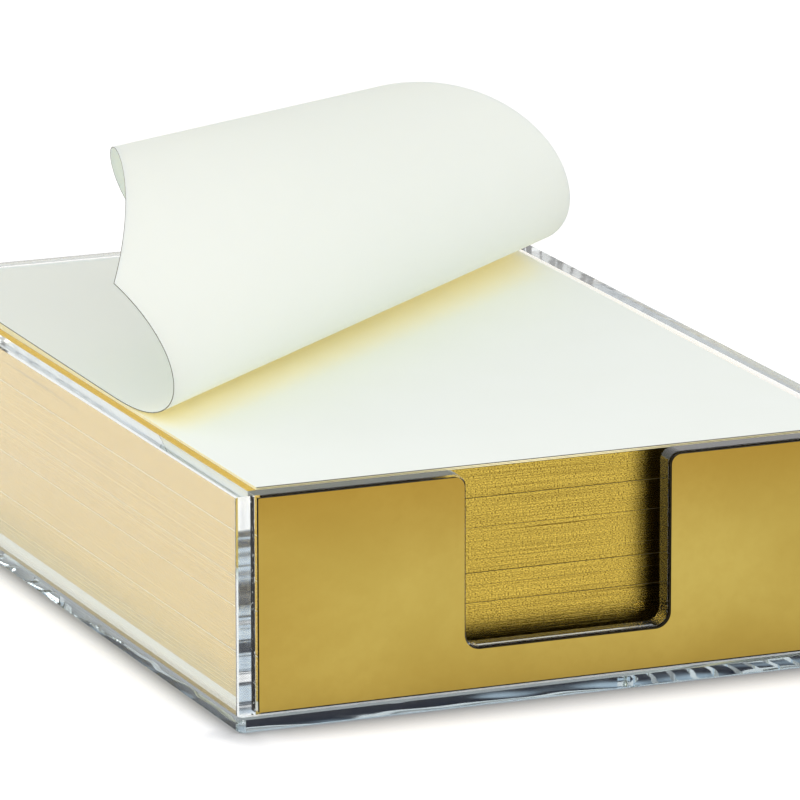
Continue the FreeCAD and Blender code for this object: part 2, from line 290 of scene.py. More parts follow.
# %% [markdown]
# ## Faces, ends and trapped light
#
# A wall of the tray has large cast faces and narrow sawn ends, and the ends are duller. The ends
# could have a material of their own, but the direction in which the surface faces tells them apart
# without sorting any face. A clear solid has one more trait: a renderer finds light through it
# only by chance, which is slow and dark. So shadow and diffuse rays are let straight through, as a
# thin clear wall lets them. So is light that has been thrown about inside a sheet for a long way,
# which leaks out of a real tray through its cemented joints.

# %% Helpers for the clear pieces
LEAK_DEPTH = 20


def facing(tree, axis):
    """1 where the surface looks along an axis, 0 where the axis lies in the surface."""
    normal = add(tree, "ShaderNodeNewGeometry").outputs["True Normal"]
    return maths(tree, "ABSOLUTE", parts_of(tree, normal)[axis])


def faces_to_ends(tree, pair):
    """A value for the cast faces that becomes another one on the sawn ends."""
    if pair[0] == pair[1]:
        return pair[0]
    return between(tree, facing(tree, Y), 0.0, 1.0, *pair)


def passes_straight(tree):
    """1 for the rays that go straight through: shadow, diffuse and long trapped ones."""
    path = add(tree, "ShaderNodeLightPath").outputs
    either = maths(tree, "MAXIMUM", path["Is Shadow Ray"], path["Is Diffuse Ray"])
    trapped = maths(tree, "GREATER_THAN", path["Ray Depth"], LEAK_DEPTH)
    return maths(tree, "MAXIMUM", either, trapped)


print("trapped light is let out after", LEAK_DEPTH, "bounces")

# %% [markdown]
# ## Clear acrylic
#
# Cast acrylic bends light a little less than glass: its index is 1.49. The walls are real solids,
# so one refracting shader shows their bright edges and dark corner lines by itself. Plain
# transparency would be quicker and would show neither. The three kinds of piece differ in their
# waves and haze: the side walls show their sawn ends, the cross walls show their faces, and the
# thick base is deeper in colour.

# %% Clear acrylic materials
ACRYLIC_INDEX = 1.49
ACRYLIC_TINT = (0.20, 0.38, 0.46, 1)
SURFACE_COOL = (0.975, 0.985, 0.98, 1)
SURFACE_PALE = (0.99, 0.995, 0.99, 1)
SHADOW_TINT = (0.95, 0.97, 0.96, 1)
WAVE_DEPTH = 1.0 * MM


def new_material(name):
    """An empty material, its node tree and its output node."""
    material = bpy.data.materials.new(name)
    material.use_nodes = True
    tree = material.node_tree
    tree.nodes.clear()
    return material, tree, tree.nodes.new("ShaderNodeOutputMaterial")


def bumped(tree, height, strength, depth):
    """The direction of a surface that follows a height, with the depth in metres."""
    return add(tree, "ShaderNodeBump", {"Height": height, "Strength": strength,
                                        "Distance": depth}).outputs[0]


def make_acrylic(name, along, upward, waves, haze, depth):
    """Clear acrylic; waves and haze each hold a value for the faces and one for the sawn ends."""
    material, tree, output = new_material(name)
    mottle = use_group(tree, CLOUDY_MOTTLE, Patch_size=20.0 * MM)
    ripple = use_group(tree, CAST_RIPPLE, Along=along, Upward=upward)
    solid = add(tree, "ShaderNodeBsdfPrincipled", {
        "Base Color": mixed(tree, mottle["Patches"], SURFACE_COOL, SURFACE_PALE),
        "Roughness": faces_to_ends(tree, haze), "IOR": ACRYLIC_INDEX, "Transmission Weight": 1.0,
        "Normal": bumped(tree, ripple["Height"], faces_to_ends(tree, waves), WAVE_DEPTH)})
    through = add(tree, "ShaderNodeBsdfTransparent", {"Color": SHADOW_TINT})
    both = add(tree, "ShaderNodeMixShader", {0: passes_straight(tree), 1: solid.outputs[0],
                                             2: through.outputs[0]})
    tint = add(tree, "ShaderNodeVolumeAbsorption", {"Color": ACRYLIC_TINT, "Density": depth})
    tree.links.new(both.outputs[0], output.inputs["Surface"])
    tree.links.new(tint.outputs[0], output.inputs["Volume"])
    return material


SIDE_ACRYLIC = make_acrylic("side_acrylic", along=200.0 * MM, upward=3.5 * MM,
                            waves=(0.006, 0.5), haze=(0.02, 0.08), depth=0.5)
WALL_ACRYLIC = make_acrylic("wall_acrylic", along=50.0 * MM, upward=10.0 * MM,
                            waves=(0.01, 0.01), haze=(0.004, 0.004), depth=0.5)
BASE_ACRYLIC = make_acrylic("base_acrylic", along=12.0 * MM, upward=500.0 * MM,
                            waves=(0.02, 0.006), haze=(0.004, 0.02), depth=4.0)
print("made", SIDE_ACRYLIC.name, WALL_ACRYLIC.name, BASE_ACRYLIC.name)

# %% [markdown]
# ## Brass plate
#
# The plate is gold-toned brass with a satin face. A plain metal would look like paint, so large
# cloudy patches change its tone a little, and a finer unevenness its gloss. A broad sheen is painted
# into its tone: it is brightest in the middle, and towards the top, the bottom and the two ends it
# goes dimmer and deeper. Lamps could give that sheen, but then it would wander when the tray is
# turned. The cut edge is dark.

# %% Brass plate material
BRASS_DEEP = linear(178, 155, 76)
BRASS_BRIGHT = linear(187, 165, 85)
BRASS_EDGE = linear(52, 42, 24)
# Painted sheen: this tone dims the plate towards its top, bottom and ends, leaving a bright middle.
BRASS_SHEEN_FADE = linear(228, 210, 178)
SHEEN_FADE_TOP = (0.45, 1.15)
SHEEN_FADE_BOTTOM = (0.4, -0.1)
SHEEN_FADE_ENDS = (0.5, 1.1)
FADE_AT_BOTTOM = 0.55
FADE_AT_ENDS = 0.5
NOISE_SPAN = (0.3, 0.7)
FRECKLES = (0.0, 0.25)
SATIN = (0.40, 0.48)
SATIN_DEPTH = 0.2 * MM


def painted_sheen_falloff(tree):
    """Painted sheen falloff: 0 in the middle of the plate, rising towards its top, its bottom and its
    ends.
    """
    low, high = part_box("face_plate")
    place = parts_of(tree, own_point(tree))
    aside = maths(tree, "ABSOLUTE", place[X])
    from_top, from_bottom = ([low.z + share * (high.z - low.z) for share in span]
                             for span in (SHEEN_FADE_TOP, SHEEN_FADE_BOTTOM))
    from_ends = [share * high.x for share in SHEEN_FADE_ENDS]
    top = between(tree, place[Z], *from_top)
    bottom = between(tree, place[Z], *from_bottom, 0.0, FADE_AT_BOTTOM)
    ends = between(tree, aside, *from_ends, 0.0, FADE_AT_ENDS)
    return maths(tree, "MAXIMUM", maths(tree, "MAXIMUM", top, bottom), ends)


def make_brass():
    """Satin brass with soft patches, a painted sheen that dims towards the outline, and a dark cut
    edge.
    """
    material, tree, output = new_material("brass_plate")
    mottle = use_group(tree, CLOUDY_MOTTLE, Patch_size=30.0 * MM)
    tone = mixed(tree, between(tree, mottle["Patches"], *NOISE_SPAN), BRASS_DEEP, BRASS_BRIGHT)
    freckle = between(tree, mottle["Fine"], *NOISE_SPAN, *FRECKLES)
    tone = mixed(tree, freckle, tone, BRASS_DEEP)
    # Painted sheen: the tone is dimmed towards the plate's outline, so the middle looks lit.
    tone = mixed(tree, painted_sheen_falloff(tree), tone, BRASS_SHEEN_FADE, "MULTIPLY")
    tone = mixed(tree, facing(tree, Y), BRASS_EDGE, tone)
    metal = add(tree, "ShaderNodeBsdfPrincipled", {
        "Base Color": tone, "Metallic": 1.0,
        "Roughness": between(tree, mottle["Fine"], *NOISE_SPAN, *SATIN),
        "Normal": bumped(tree, mottle["Fine"], strength=0.05, depth=SATIN_DEPTH)})
    tree.links.new(metal.outputs[0], output.inputs[0])
    return material


BRASS = make_brass()
print("made", BRASS.name)

# %% [markdown]
# ## Bonding film
#
# Only the film's edge shows, as a thin dark line round the brass plate, and its back, as the dark
# lining that is seen through the edges of the front wall. A line drawn on the plate would miss the
# lining, so the film is a thin solid of its own and needs no more than a plain mottled finish.

# %% Bonding film material
FILM_DARK = linear(34, 32, 25)
FILM_PALE = linear(54, 50, 38)


def make_film():
    """Dark adhesive film."""
    material, tree, output = new_material("bond_film")
    mottle = use_group(tree, CLOUDY_MOTTLE, Patch_size=4.0 * MM)
    film = add(tree, "ShaderNodeBsdfPrincipled", {
        "Base Color": mixed(tree, mottle["Patches"], FILM_DARK, FILM_PALE), "Roughness": 0.45})
    tree.links.new(film.outputs[0], output.inputs[0])
    return material


FILM = make_film()
print("made", FILM.name)

# %% [markdown]
# ## Paper
#
# Memo paper is a matt white felt. Deep in a fold the light has gone from sheet to sheet and turned
# warm. Many bounces of light would give that warmth, and a long render with them, so the warmth is
# painted in: a measure of how open the place is chooses a warm tone there. A single sheet also lets
# light through, so the curled one is part translucent. Its upper side is painted a little cooler
# than its underside, because the sheet shows them in quite different light.

# %% Paper shaders
PAPER_WHITE = linear(247, 251, 247)
PAPER_CREAM = linear(245, 249, 243)
# Painted bounce light: the warm tone given deep in folds.
PAPER_BOUNCE_WARMTH = linear(255, 249, 221)
PAPER_GLOW = linear(249, 252, 252)
UNDER_WHITE = linear(244, 250, 252)
UNDER_CREAM = linear(242, 248, 250)
# Painted: the upper side is a little cooler, to offset the warmer light it gets.
UPPER_WHITE = linear(243, 251, 254)
UPPER_CREAM = linear(241, 249, 252)
THIN_SHARE = 0.27
FOLD_REACH = 9.0 * MM
FOLD_FROM = 0.5
FOLD_FULL = 0.1
FELT_DEPTH = 0.05 * MM


def paper_face(tree, white=PAPER_WHITE, cream=PAPER_CREAM):
    """Paper: a felted matt surface, cool in the open, with painted warm bounce light deep in a fold.
    """
    tooth = use_group(tree, PAPER_TOOTH)
    # Painted bounce light: the more closed in the place, the more of the warm fold tone.
    open_air = add(tree, "ShaderNodeAmbientOcclusion", {"Distance": FOLD_REACH}, samples=4)
    depth = between(tree, open_air.outputs["AO"], FOLD_FROM, FOLD_FULL)
    tone = mixed(tree, depth, mixed(tree, tooth["Cloud"], white, cream), PAPER_BOUNCE_WARMTH)
    return add(tree, "ShaderNodeBsdfPrincipled", {
        "Base Color": tone, "Roughness": 0.75, "Specular IOR Level": 0.25,
        "Normal": bumped(tree, tooth["Height"], strength=0.08, depth=FELT_DEPTH)}).outputs[0]


def thin_paper(tree, white, cream):
    """One side of a single sheet of paper, which lets some light through."""
    glow = add(tree, "ShaderNodeBsdfTranslucent", {"Color": PAPER_GLOW}).outputs[0]
    face = paper_face(tree, white, cream)
    return add(tree, "ShaderNodeMixShader", {0: THIN_SHARE, 1: face, 2: glow}).outputs[0]


def upper_paper(tree):
    """The upper side of a single sheet, painted a little cooler than its underside."""
    return thin_paper(tree, UPPER_WHITE, UPPER_CREAM)


def under_paper(tree):
    """The underside of a single sheet."""
    return thin_paper(tree, UNDER_WHITE, UNDER_CREAM)


print("paper shaders ready")

# %% [markdown]
# ## Gilded edges
#
# The sheets' cut edges are gilded. Pressed together in the stack they are one metal face, with the
# grain of the leaves and a fine speckle where the leaf of gold has broken; the long sides are
# smoother and a warmer gold. The speckle could be an image of real gilding, but noise fits any
# size. One edge alone is too thin to shine, so its tone is painted dark as shade and reads as a dark
# line. On the loose sheets light comes in from both sides, so the same edge is painted pale as lit.

# %% Gilding shaders
GILT_SHORT = linear(221, 191, 85)
GILT_LONG = linear(226, 190, 44)
GILT_DEEP = linear(74, 50, 18)
# Painted shade and painted light: a single edge's gilding is dark where seen alone, pale on lifted
# sheets.
SHADED_RIM_TONE = linear(92, 88, 70)
LIT_RIM_TONE = linear(252, 240, 190)
LONG_SIDE_GRAIN = 0.3
GRAIN_SHADE = (0.3, 0.65, 0.4, 0.0)
SPECKLE_PITS = (0.46, 0.62, 0.0, 0.95)
GILT_DEPTH = 0.05 * MM


def gilt_shader(tree):
    """The gilded cut edges of the sheets."""
    grain = use_group(tree, LEAF_EDGE_GRAIN)
    speckle = use_group(tree, LEAF_EDGE_GRAIN, Leaf_pitch=0.11 * MM, Streak_length=0.28 * MM)
    long_side = facing(tree, X)
    tone = mixed(tree, long_side, GILT_SHORT, GILT_LONG)
    coarse = between(tree, long_side, 0.0, 1.0, 1.0, LONG_SIDE_GRAIN)
    shade = between(tree, grain["Height"], *GRAIN_SHADE)
    pits = between(tree, speckle["Height"], *SPECKLE_PITS)
    for mask in (shade, pits, grain["Dark leaves"]):
        tone = mixed(tree, maths(tree, "MULTIPLY", mask, coarse), tone, GILT_DEEP)
    rough = maths(tree, "ADD", grain["Height"], speckle["Height"])
    return add(tree, "ShaderNodeBsdfPrincipled", {
        "Base Color": tone, "Metallic": 1.0, "Roughness": 0.09,
        "Normal": bumped(tree, rough, strength=0.5, depth=GILT_DEPTH)}).outputs[0]


def single_edge(tree, bright, deep, metal):
    """The gilded edge of one sheet, too thin to shine, in a given painted tone."""
    grain = use_group(tree, LEAF_EDGE_GRAIN)
    return add(tree, "ShaderNodeBsdfPrincipled", {
        "Base Color": mixed(tree, grain["Dark leaves"], bright, deep), "Metallic": metal,
        "Roughness": 0.4}).outputs[0]


def shaded_rim_shader(tree):
    """The edge of one sheet seen alone, painted dark as shade so that it reads as a dark line."""
    return single_edge(tree, SHADED_RIM_TONE, GILT_DEEP, metal=0.6)


def lit_rim_shader(tree):
    """The edge of a lifted sheet, painted pale as lit by light from both sides."""
    return single_edge(tree, LIT_RIM_TONE, GILT_SHORT, metal=0.2)


print("gilding shaders ready")

# %% [markdown]
# ## Seeped rim
#
# Gilding creeps a little over the edge, so a flat sheet has a hair-thin outline on its short sides,
# in the single edge's tone painted dark as shade. A ring of narrow faces could carry it, but a mask
# needs none, and its width is a single number. It is a group, because the stack's paper and the
# lifted paper both use it.

# %% Node group: seeped rim
MIDDLE = 0.5
RIM_SHARE = 0.004


def build_seeped_rim():
    """1 in a narrow strip along a sheet's short sides."""
    group, given, result = new_group("Seeped rim", {"Rim share": RIM_SHARE}, ["Mask"])
    place = add(group, "ShaderNodeTexCoord").outputs["Generated"]
    along = maths(group, "SUBTRACT", parts_of(group, place)[Y], MIDDLE)
    reach = maths(group, "ABSOLUTE", along)
    inside = maths(group, "SUBTRACT", MIDDLE, given["Rim share"])
    group.links.new(maths(group, "GREATER_THAN", reach, inside), result["Mask"])
    return group


SEEPED_RIM = build_seeped_rim()
print("node group:", SEEPED_RIM.name)

# %% [markdown]
# ## Sheet materials
#
# One material serves a flat sheet all round: where the surface faces up or down it is paper, and
# where it faces sideways it is the gilded cut edge. The faces could be sorted by hand, but a mask
# from the surface's direction never misses one. The curled sheet faces every way, so it has a
# material of its own for each side and for its rim.

# %% Sheet materials
STEEP = 0.5


def make_sheet_material(name, edge):
    """Paper above and below, gilding round the edge and a seeped rim between them."""
    material, tree, output = new_material(name)
    level = facing(tree, Z)
    cut_edge = maths(tree, "LESS_THAN", level, STEEP)
    both = add(tree, "ShaderNodeMixShader", {0: cut_edge, 1: paper_face(tree), 2: edge(tree)})
    rim = maths(tree, "MULTIPLY", use_group(tree, SEEPED_RIM)["Mask"], level)
    # The seeped rim takes the single edge's tone, painted dark as shade.
    seeped = add(tree, "ShaderNodeMixShader", {0: rim, 1: both.outputs[0], 2: shaded_rim_shader(tree)})
    tree.links.new(seeped.outputs[0], output.inputs[0])
    return material


def make_plain_material(name, shader):
    """A material with one shader all over."""
    material, tree, output = new_material(name)
    tree.links.new(shader(tree), output.inputs[0])
    return material


SHEETS = make_sheet_material("gilt_edged_paper", gilt_shader)
LIFTED = make_sheet_material("lifted_paper", lit_rim_shader)
UPPER = make_plain_material("upper_paper", upper_paper)
UNDER = make_plain_material("under_paper", under_paper)
GILT = make_plain_material("gilt_edge", shaded_rim_shader)
print("made", SHEETS.name, LIFTED.name, UPPER.name, UNDER.name, GILT.name)

# %% [markdown]
# ## Dress the rigid pieces
#
# The walls, the base, the film, the plate and the two lifted sheets have the right shape already,
# so they keep their meshes. Two walls that touch share a plane, and a refracting ray can't tell
# which side it is on there. They could be joined into one solid, but the real tray has seams. So
# each clear piece is a hundredth of a millimetre smaller all round, which parts them. The film is
# two hundredths larger, which keeps it in contact with the wall behind it, as glue does.

# %% Finishes on the rigid pieces
JOINT_GAP = 0.01 * MM
FILM_GROWTH = 2 * JOINT_GAP
CLEAR_NODES = {"base_plate": BASE_ACRYLIC, "left_wall": SIDE_ACRYLIC, "right_wall": SIDE_ACRYLIC,
               "back_wall": WALL_ACRYLIC, "front_wall": WALL_ACRYLIC}
PLAIN_NODES = {"face_film": FILM, "face_plate": BRASS, "lifted_sheet_1": LIFTED,
               "lifted_sheet_2": LIFTED}


def finish_node(name, material):
    """Gives a node of the frame its material."""
    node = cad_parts[name]
    node.data.materials.clear()
    node.data.materials.append(material)


def swell(name, amount):
    """Moves every face of a node outwards by an amount, its corners kept together."""
    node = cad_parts[name]
    node.modifiers.new("weld", "WELD").merge_threshold = JOINT_GAP / 10
    grow = node.modifiers.new("swell", "DISPLACE")
    grow.mid_level = 0.0
    grow.strength = amount


for name, material in {**CLEAR_NODES, **PLAIN_NODES}.items():
    finish_node(name, material)
for name in CLEAR_NODES:
    swell(name, -JOINT_GAP)
swell("face_film", FILM_GROWTH)
print("dressed", len(CLEAR_NODES) + len(PLAIN_NODES), "nodes")

# %% [markdown]
# ## New pieces from numbers
#
# The cement, the leaves and the curled sheet are worked out from numbers. They could be added with
# the operators behind Blender's menus, but those act on whatever is selected and make one object at
# a time. A bmesh is a mesh held in memory: it takes any number of boxes or points, and becomes one
# object in the end.

# %% Helpers for new pieces


def box_into(mesh, low, high):
    """Adds a closed box to a bmesh."""
    made = bmesh.ops.create_cube(mesh, size=1.0)
    scale = Matrix.Diagonal((high.x - low.x, high.y - low.y, high.z - low.z, 1.0))
    bmesh.ops.transform(mesh, matrix=Matrix.Translation((low + high) / 2) @ scale,
                        verts=made["verts"])


def object_from(name, mesh, *materials):
    """An object in the scene, made from a bmesh that isn't needed afterwards."""
    data = bpy.data.meshes.new(name)
    mesh.to_mesh(data)
    mesh.free()
    for material in materials:
        data.materials.append(material)
    made = bpy.data.objects.new(name, data)
    bpy.context.scene.collection.objects.link(made)
    return made


print("helpers for new pieces ready")

# %% [markdown]
# ## Cement in the corners
#
# The walls are cemented where the end of one meets the face of another. The cement is a dark line
# with a few tiny bubbles, seen through the end of the side wall. A line painted on the wall would
# stay in place when the eye moves, and a real one shifts behind the clear end. So each is a strip
# as thin as a hair, set a little into the side wall so that no air lies between them.

# %% Cement lines
CEMENT_THICKNESS = 0.03 * MM
CEMENT_OVERLAP = CEMENT_THICKNESS / 3
CEMENT_MARGIN = 0.3 * MM
CEMENT_DARK = linear(6, 6, 7)
BUBBLE_PALE = linear(215, 218, 220)
BUBBLES = (0.66, 0.7)


def make_cement():
    """Dark cement with a few pale bubbles."""
    material, tree, output = new_material("cement")
    tooth = use_group(tree, PAPER_TOOTH, Felt_size=0.6 * MM)
    bubbles = between(tree, tooth["Height"], *BUBBLES)
    glue = add(tree, "ShaderNodeBsdfPrincipled", {
        "Base Color": mixed(tree, bubbles, CEMENT_DARK, BUBBLE_PALE), "Roughness": 0.5,
        "Specular IOR Level": 0.0})
    tree.links.new(glue.outputs[0], output.inputs[0])
    return material


def cement_line(name, side, wall):
    """A strip of cement between the end of a cross wall and the face of a side wall."""
    low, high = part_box(wall)
    x_face = low.x if side < 0 else high.x
    near, far = sorted((x_face + side * CEMENT_THICKNESS, x_face - side * CEMENT_OVERLAP))
    mesh = bmesh.new()
    box_into(mesh, Vector((near, low.y + CEMENT_MARGIN, low.z + CEMENT_MARGIN)),
             Vector((far, high.y - CEMENT_MARGIN, high.z - CEMENT_MARGIN)))
    strip = object_from(name, mesh, CEMENT)
    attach(strip, "tray")


CEMENT = make_cement()
for wall in ("front_wall", "back_wall"):
    cement_line(wall.replace("wall", "cement_left"), -1, wall)
    cement_line(wall.replace("wall", "cement_right"), 1, wall)
print("cement lines: 4")

# %% [markdown]
# ## The stack, leaf by leaf
#
# In the model a group of the stack is one block that stands for a run of thin sheets. A bump could
# draw the leaves on it, but their ledges would be missing from its outline. So each block becomes
# its leaves: thin boxes, each pushed out of line by up to a hundredth of a millimetre, and a few of
# them by up to five hundredths. The ledges catch the light as the edges of a real stack do.

# %% Cut the groups into leaves
LEAF_PITCH = 0.152 * MM
LEAF_SHARE = 0.985
SMALL_SHIFT = 0.01 * MM
LARGE_SHIFT = 0.05 * MM
ODD_LEAF = 0.08
LEAF_SEED = 7


def make_leaves(name, node, chance):
    """One mesh of single leaves in place of a block, and how many there are."""
    low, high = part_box(node)
    count = max(1, round((high.z - low.z) / LEAF_PITCH))
    pitch = (high.z - low.z) / count
    mesh = bmesh.new()
    for rank in range(count):
        reach = LARGE_SHIFT if chance.random() < ODD_LEAF else SMALL_SHIFT
        shift = Vector((chance.uniform(-reach, reach), chance.uniform(-reach, reach), 0))
        bottom = low.z + rank * pitch
        corner = Vector((low.x, low.y, bottom)) + shift
        far = Vector((high.x, high.y, bottom + pitch * LEAF_SHARE)) + shift
        box_into(mesh, corner, far)
    leaves = object_from(name, mesh, SHEETS)
    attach(leaves, "stack")
    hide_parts(node)
    return count


chance = random.Random(LEAF_SEED)
groups = [name for name in sorted(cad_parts) if name.startswith("sheet_group_")]
leaf_count = sum(make_leaves(name.replace("sheet_group", "leaves"), name, chance)
                 for name in groups)
print("leaves in the stack:", leaf_count)

# %% [markdown]
# ## Fold the curled sheet
#
# Paper bends but doesn't stretch, so a curled sheet is a surface with a straight line through each
# of its points. Cloth simulation or a bend modifier would stretch it. It is made here as the real
# one is: a flat rectangle is carried through more than a thousand tiny folds, whose lines cross its
# diagonal. How tightly it bends and which way the lines run change along the diagonal by a few
# values, the same ones as in the solid model.

# %% The chain of folds
SHEET_WIDTH = 101.6 * MM
SHEET_LENGTH = 152.4 * MM
FOLDS = 1200
BENDS = [(63.8 * MM, 0.0), (100.5 * MM, 1 / (18.7 * MM))]
AXES = [(63.8 * MM, 43.4), (100.5 * MM, 35.7), (110.7 * MM, 35.7), (183.16 * MM, 52.2)]
CURL_TIP = 2.5 * MM
LIFT_ANGLE = 0.51
LIFT_FROM = 60.0 * MM
SEAT_LEVEL = 0.45 * MM
SEAT_SLIP = 0.9 * MM


def ramp(along, stations):
    """A value between (distance, value) stations, level beyond the first and the last."""
    if along <= stations[0][0]:
        return stations[0][1]
    for (near, low), (far, high) in zip(stations, stations[1:]):
        if along <= far:
            return low + (high - low) * (along - near) / (far - near)
    return stations[-1][1]


def fold_chain(corner):
    """The fold lines, and where the paper lies after each of them."""
    start = Vector((0, SHEET_LENGTH, 0))
    diagonal = Vector((SHEET_WIDTH, -SHEET_LENGTH, 0))
    pivot = Matrix.Translation((0, LIFT_FROM, 0))
    tilt = Matrix.Rotation(math.radians(LIFT_ANGLE), 4, "X")
    seat = Matrix.Translation((0, SEAT_SLIP, SEAT_LEVEL)) @ pivot @ tilt @ pivot.inverted()
    places = [Matrix.Translation(corner) @ seat]
    lines = []
    step = diagonal.length / FOLDS
    for index in range(FOLDS):
        along = (index + 0.5) * step
        angle = math.radians(ramp(along, AXES))
        curvature = ramp(along, BENDS) if along < diagonal.length - CURL_TIP else 0.0
        at = start + diagonal * (along / diagonal.length)
        line = Vector((math.cos(angle), math.sin(angle), 0))
        ahead = Vector((line.y, -line.x, 0))
        turn = curvature * step * diagonal.dot(ahead) / diagonal.length
        about = Matrix.Translation(at)
        fold = about @ Matrix.Rotation(turn, 4, -line) @ about.inverted()
        places.append(places[-1] @ fold)
        lines.append((at, ahead))
    return lines, places


leaf_low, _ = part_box("lifted_sheet_1")
_, stack_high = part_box(groups[-1])
lines, places = fold_chain(Vector((leaf_low.x, leaf_low.y, stack_high.z)))
print("folds:", len(lines))

# %% [markdown]
# ## The curled sheet
#
# The flat sheet is a grid of points about a millimetre apart. Each point goes through the folds
# that come before it and lands where the last of them puts it. The sheet then gets its thickness.
# That could be a second layer built by hand, but the solidify modifier does it evenly on any curve,
# and gives the two sides and the rim their own materials.

# %% Mesh of the curled sheet
GRID_STEP = 1.0 * MM
SHEET_THICKNESS = 0.15 * MM
SHARP_FROM = math.radians(30)


def curled_grid():
    """The folded sheet as a mesh without thickness."""
    columns = round(SHEET_WIDTH / GRID_STEP)
    rows = round(SHEET_LENGTH / GRID_STEP)
    mesh = bmesh.new()
    grid = []
    for row in range(rows + 1):
        for column in range(columns + 1):
            flat = Vector((SHEET_WIDTH * column / columns, SHEET_LENGTH * row / rows, 0))
            passed = bisect.bisect_left(lines, 0.0, key=lambda fold: (fold[0] - flat).dot(fold[1]))
            grid.append(mesh.verts.new(places[passed] @ flat))
    width = columns + 1
    for row in range(rows):
        for column in range(columns):
            first = row * width + column
            mesh.faces.new([grid[i] for i in (first, first + 1, first + width + 1, first + width)])
    return mesh


def make_curled_sheet():
    """The folded sheet with its thickness, its sides and its rim."""
    sheet = object_from("curled_sheet", curled_grid(), UPPER, UNDER, GILT)
    thicken = sheet.modifiers.new("thicken", "SOLIDIFY")
    thicken.thickness = SHEET_THICKNESS
    thicken.offset = 1.0
    thicken.material_offset = 1
    thicken.material_offset_rim = 2
    graph = bpy.context.evaluated_depsgraph_get()
    solid = bpy.data.meshes.new_from_object(sheet.evaluated_get(graph))
    sheet.modifiers.clear()
    sheet.data = solid
    solid.shade_smooth()
    solid.set_sharp_from_angle(angle=SHARP_FROM)
    return sheet


curled = make_curled_sheet()
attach(curled, "top")
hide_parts("top_sheet")
_, solid_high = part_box("top_sheet")
reached = [max(corner.co[i] for corner in curled.data.vertices) for i in (X, Y, Z)]
print("curled sheet, off its solid by mm:",
      [round((reached[i] - solid_high[i]) / MM, 2) for i in (X, Y, Z)])

# %% [markdown]
# ## Floor
#
# A plain white table. A white surface in soft light renders light grey, and stronger lamps would
# bleach the paper too. So the floor adds a little brightness of its own to what the camera, glass
# and metal see, and loses it wherever the tray stands close. That shade reaches further at the
# front than at the sides and is deeper at the corners. Under the clear base the floor keeps its
# white, except in a narrow strip along the outline and below the right wall. The shade could come
# from the lamps alone, but clear walls throw hardly any.

# %% Floor masks
CONTACT_SIDE = 4.5 * MM
CONTACT_FRONT = 10.0 * MM
CONTACT_DEPTH = 1.6
CORNER_REACH = 2.0 * MM
CORNER_DEPTH = 2.6
CORNER_INWARD = 5.0 * MM
CORNER_BACKWARD = 3.0 * MM
CORNER_FULL = 1.0 * MM
CORNER_END = 5.0 * MM
EDGE_STRIP = 0.6 * MM
SHADED_STRIP = 3.3 * MM


def seen_directly(tree):
    """1 for camera, mirror and refracted rays, 0 for the rest."""
    path = add(tree, "ShaderNodeLightPath").outputs
    first = maths(tree, "MAXIMUM", path["Is Camera Ray"], path["Is Glossy Ray"])
    return maths(tree, "MAXIMUM", first, path["Is Transmission Ray"])


def corner_mask(tree, away, foot):
    """1 at the corners of the foot, fading out on all sides."""
    near_x = between(tree, away[X], foot.x - CORNER_INWARD, foot.x + CORNER_FULL)
    near_y = between(tree, away[Y], foot.y - CORNER_BACKWARD, foot.y + CORNER_FULL)
    fade = between(tree, away[X], foot.x + CORNER_END, foot.x + CORNER_FULL)
    return maths(tree, "MULTIPLY", maths(tree, "MULTIPLY", near_x, near_y), fade)


def contact_shade(tree, away, foot):
    """How bright the floor stays beside the tray: 1 in the open, less where the tray is close."""
    reach = between(tree, away[Y], foot.y - CONTACT_SIDE, foot.y, CONTACT_SIDE, CONTACT_FRONT)
    corner = corner_mask(tree, away, foot)
    further = maths(tree, "MULTIPLY_ADD", corner, CORNER_REACH, reach)
    depth = between(tree, corner, 0.0, 1.0, CONTACT_DEPTH, CORNER_DEPTH)
    open_air = add(tree, "ShaderNodeAmbientOcclusion", {"Distance": further}, samples=16)
    return maths(tree, "POWER", open_air.outputs["AO"], depth)


def shaded_part(tree, place, away, foot):
    """1 outside the foot, in a strip along its outline and under the right wall."""
    past_x = maths(tree, "GREATER_THAN", away[X], foot.x - EDGE_STRIP)
    past_y = maths(tree, "GREATER_THAN", away[Y], foot.y - EDGE_STRIP)
    right = maths(tree, "GREATER_THAN", place[X], foot.x - SHADED_STRIP)
    return maths(tree, "MAXIMUM", maths(tree, "MAXIMUM", past_x, past_y), right)


print("floor masks ready")

# %% [markdown]
# ## Put the floor down
#
# The floor is one large square at the height of the tray's underside. A curved backdrop would give
# a softer horizon, but a flat table shows every contact honestly, and the surround behind it is
# just as white. The brass would turn the floor beside it a little yellow, so a slight cool tint
# keeps it neutral there. It isn't a piece of the object.

# %% Floor
WHITE = (1, 1, 1, 1)
FLOOR_SIZE = 12.0
FLOOR_COLOUR = linear(232, 232, 232)
FLOOR_LIFT = 0.40
SHADED_LEAST = 0.35
COOL_REACH = 30.0 * MM
COOL_TINT = (0.99, 1.0, 1.03, 1)


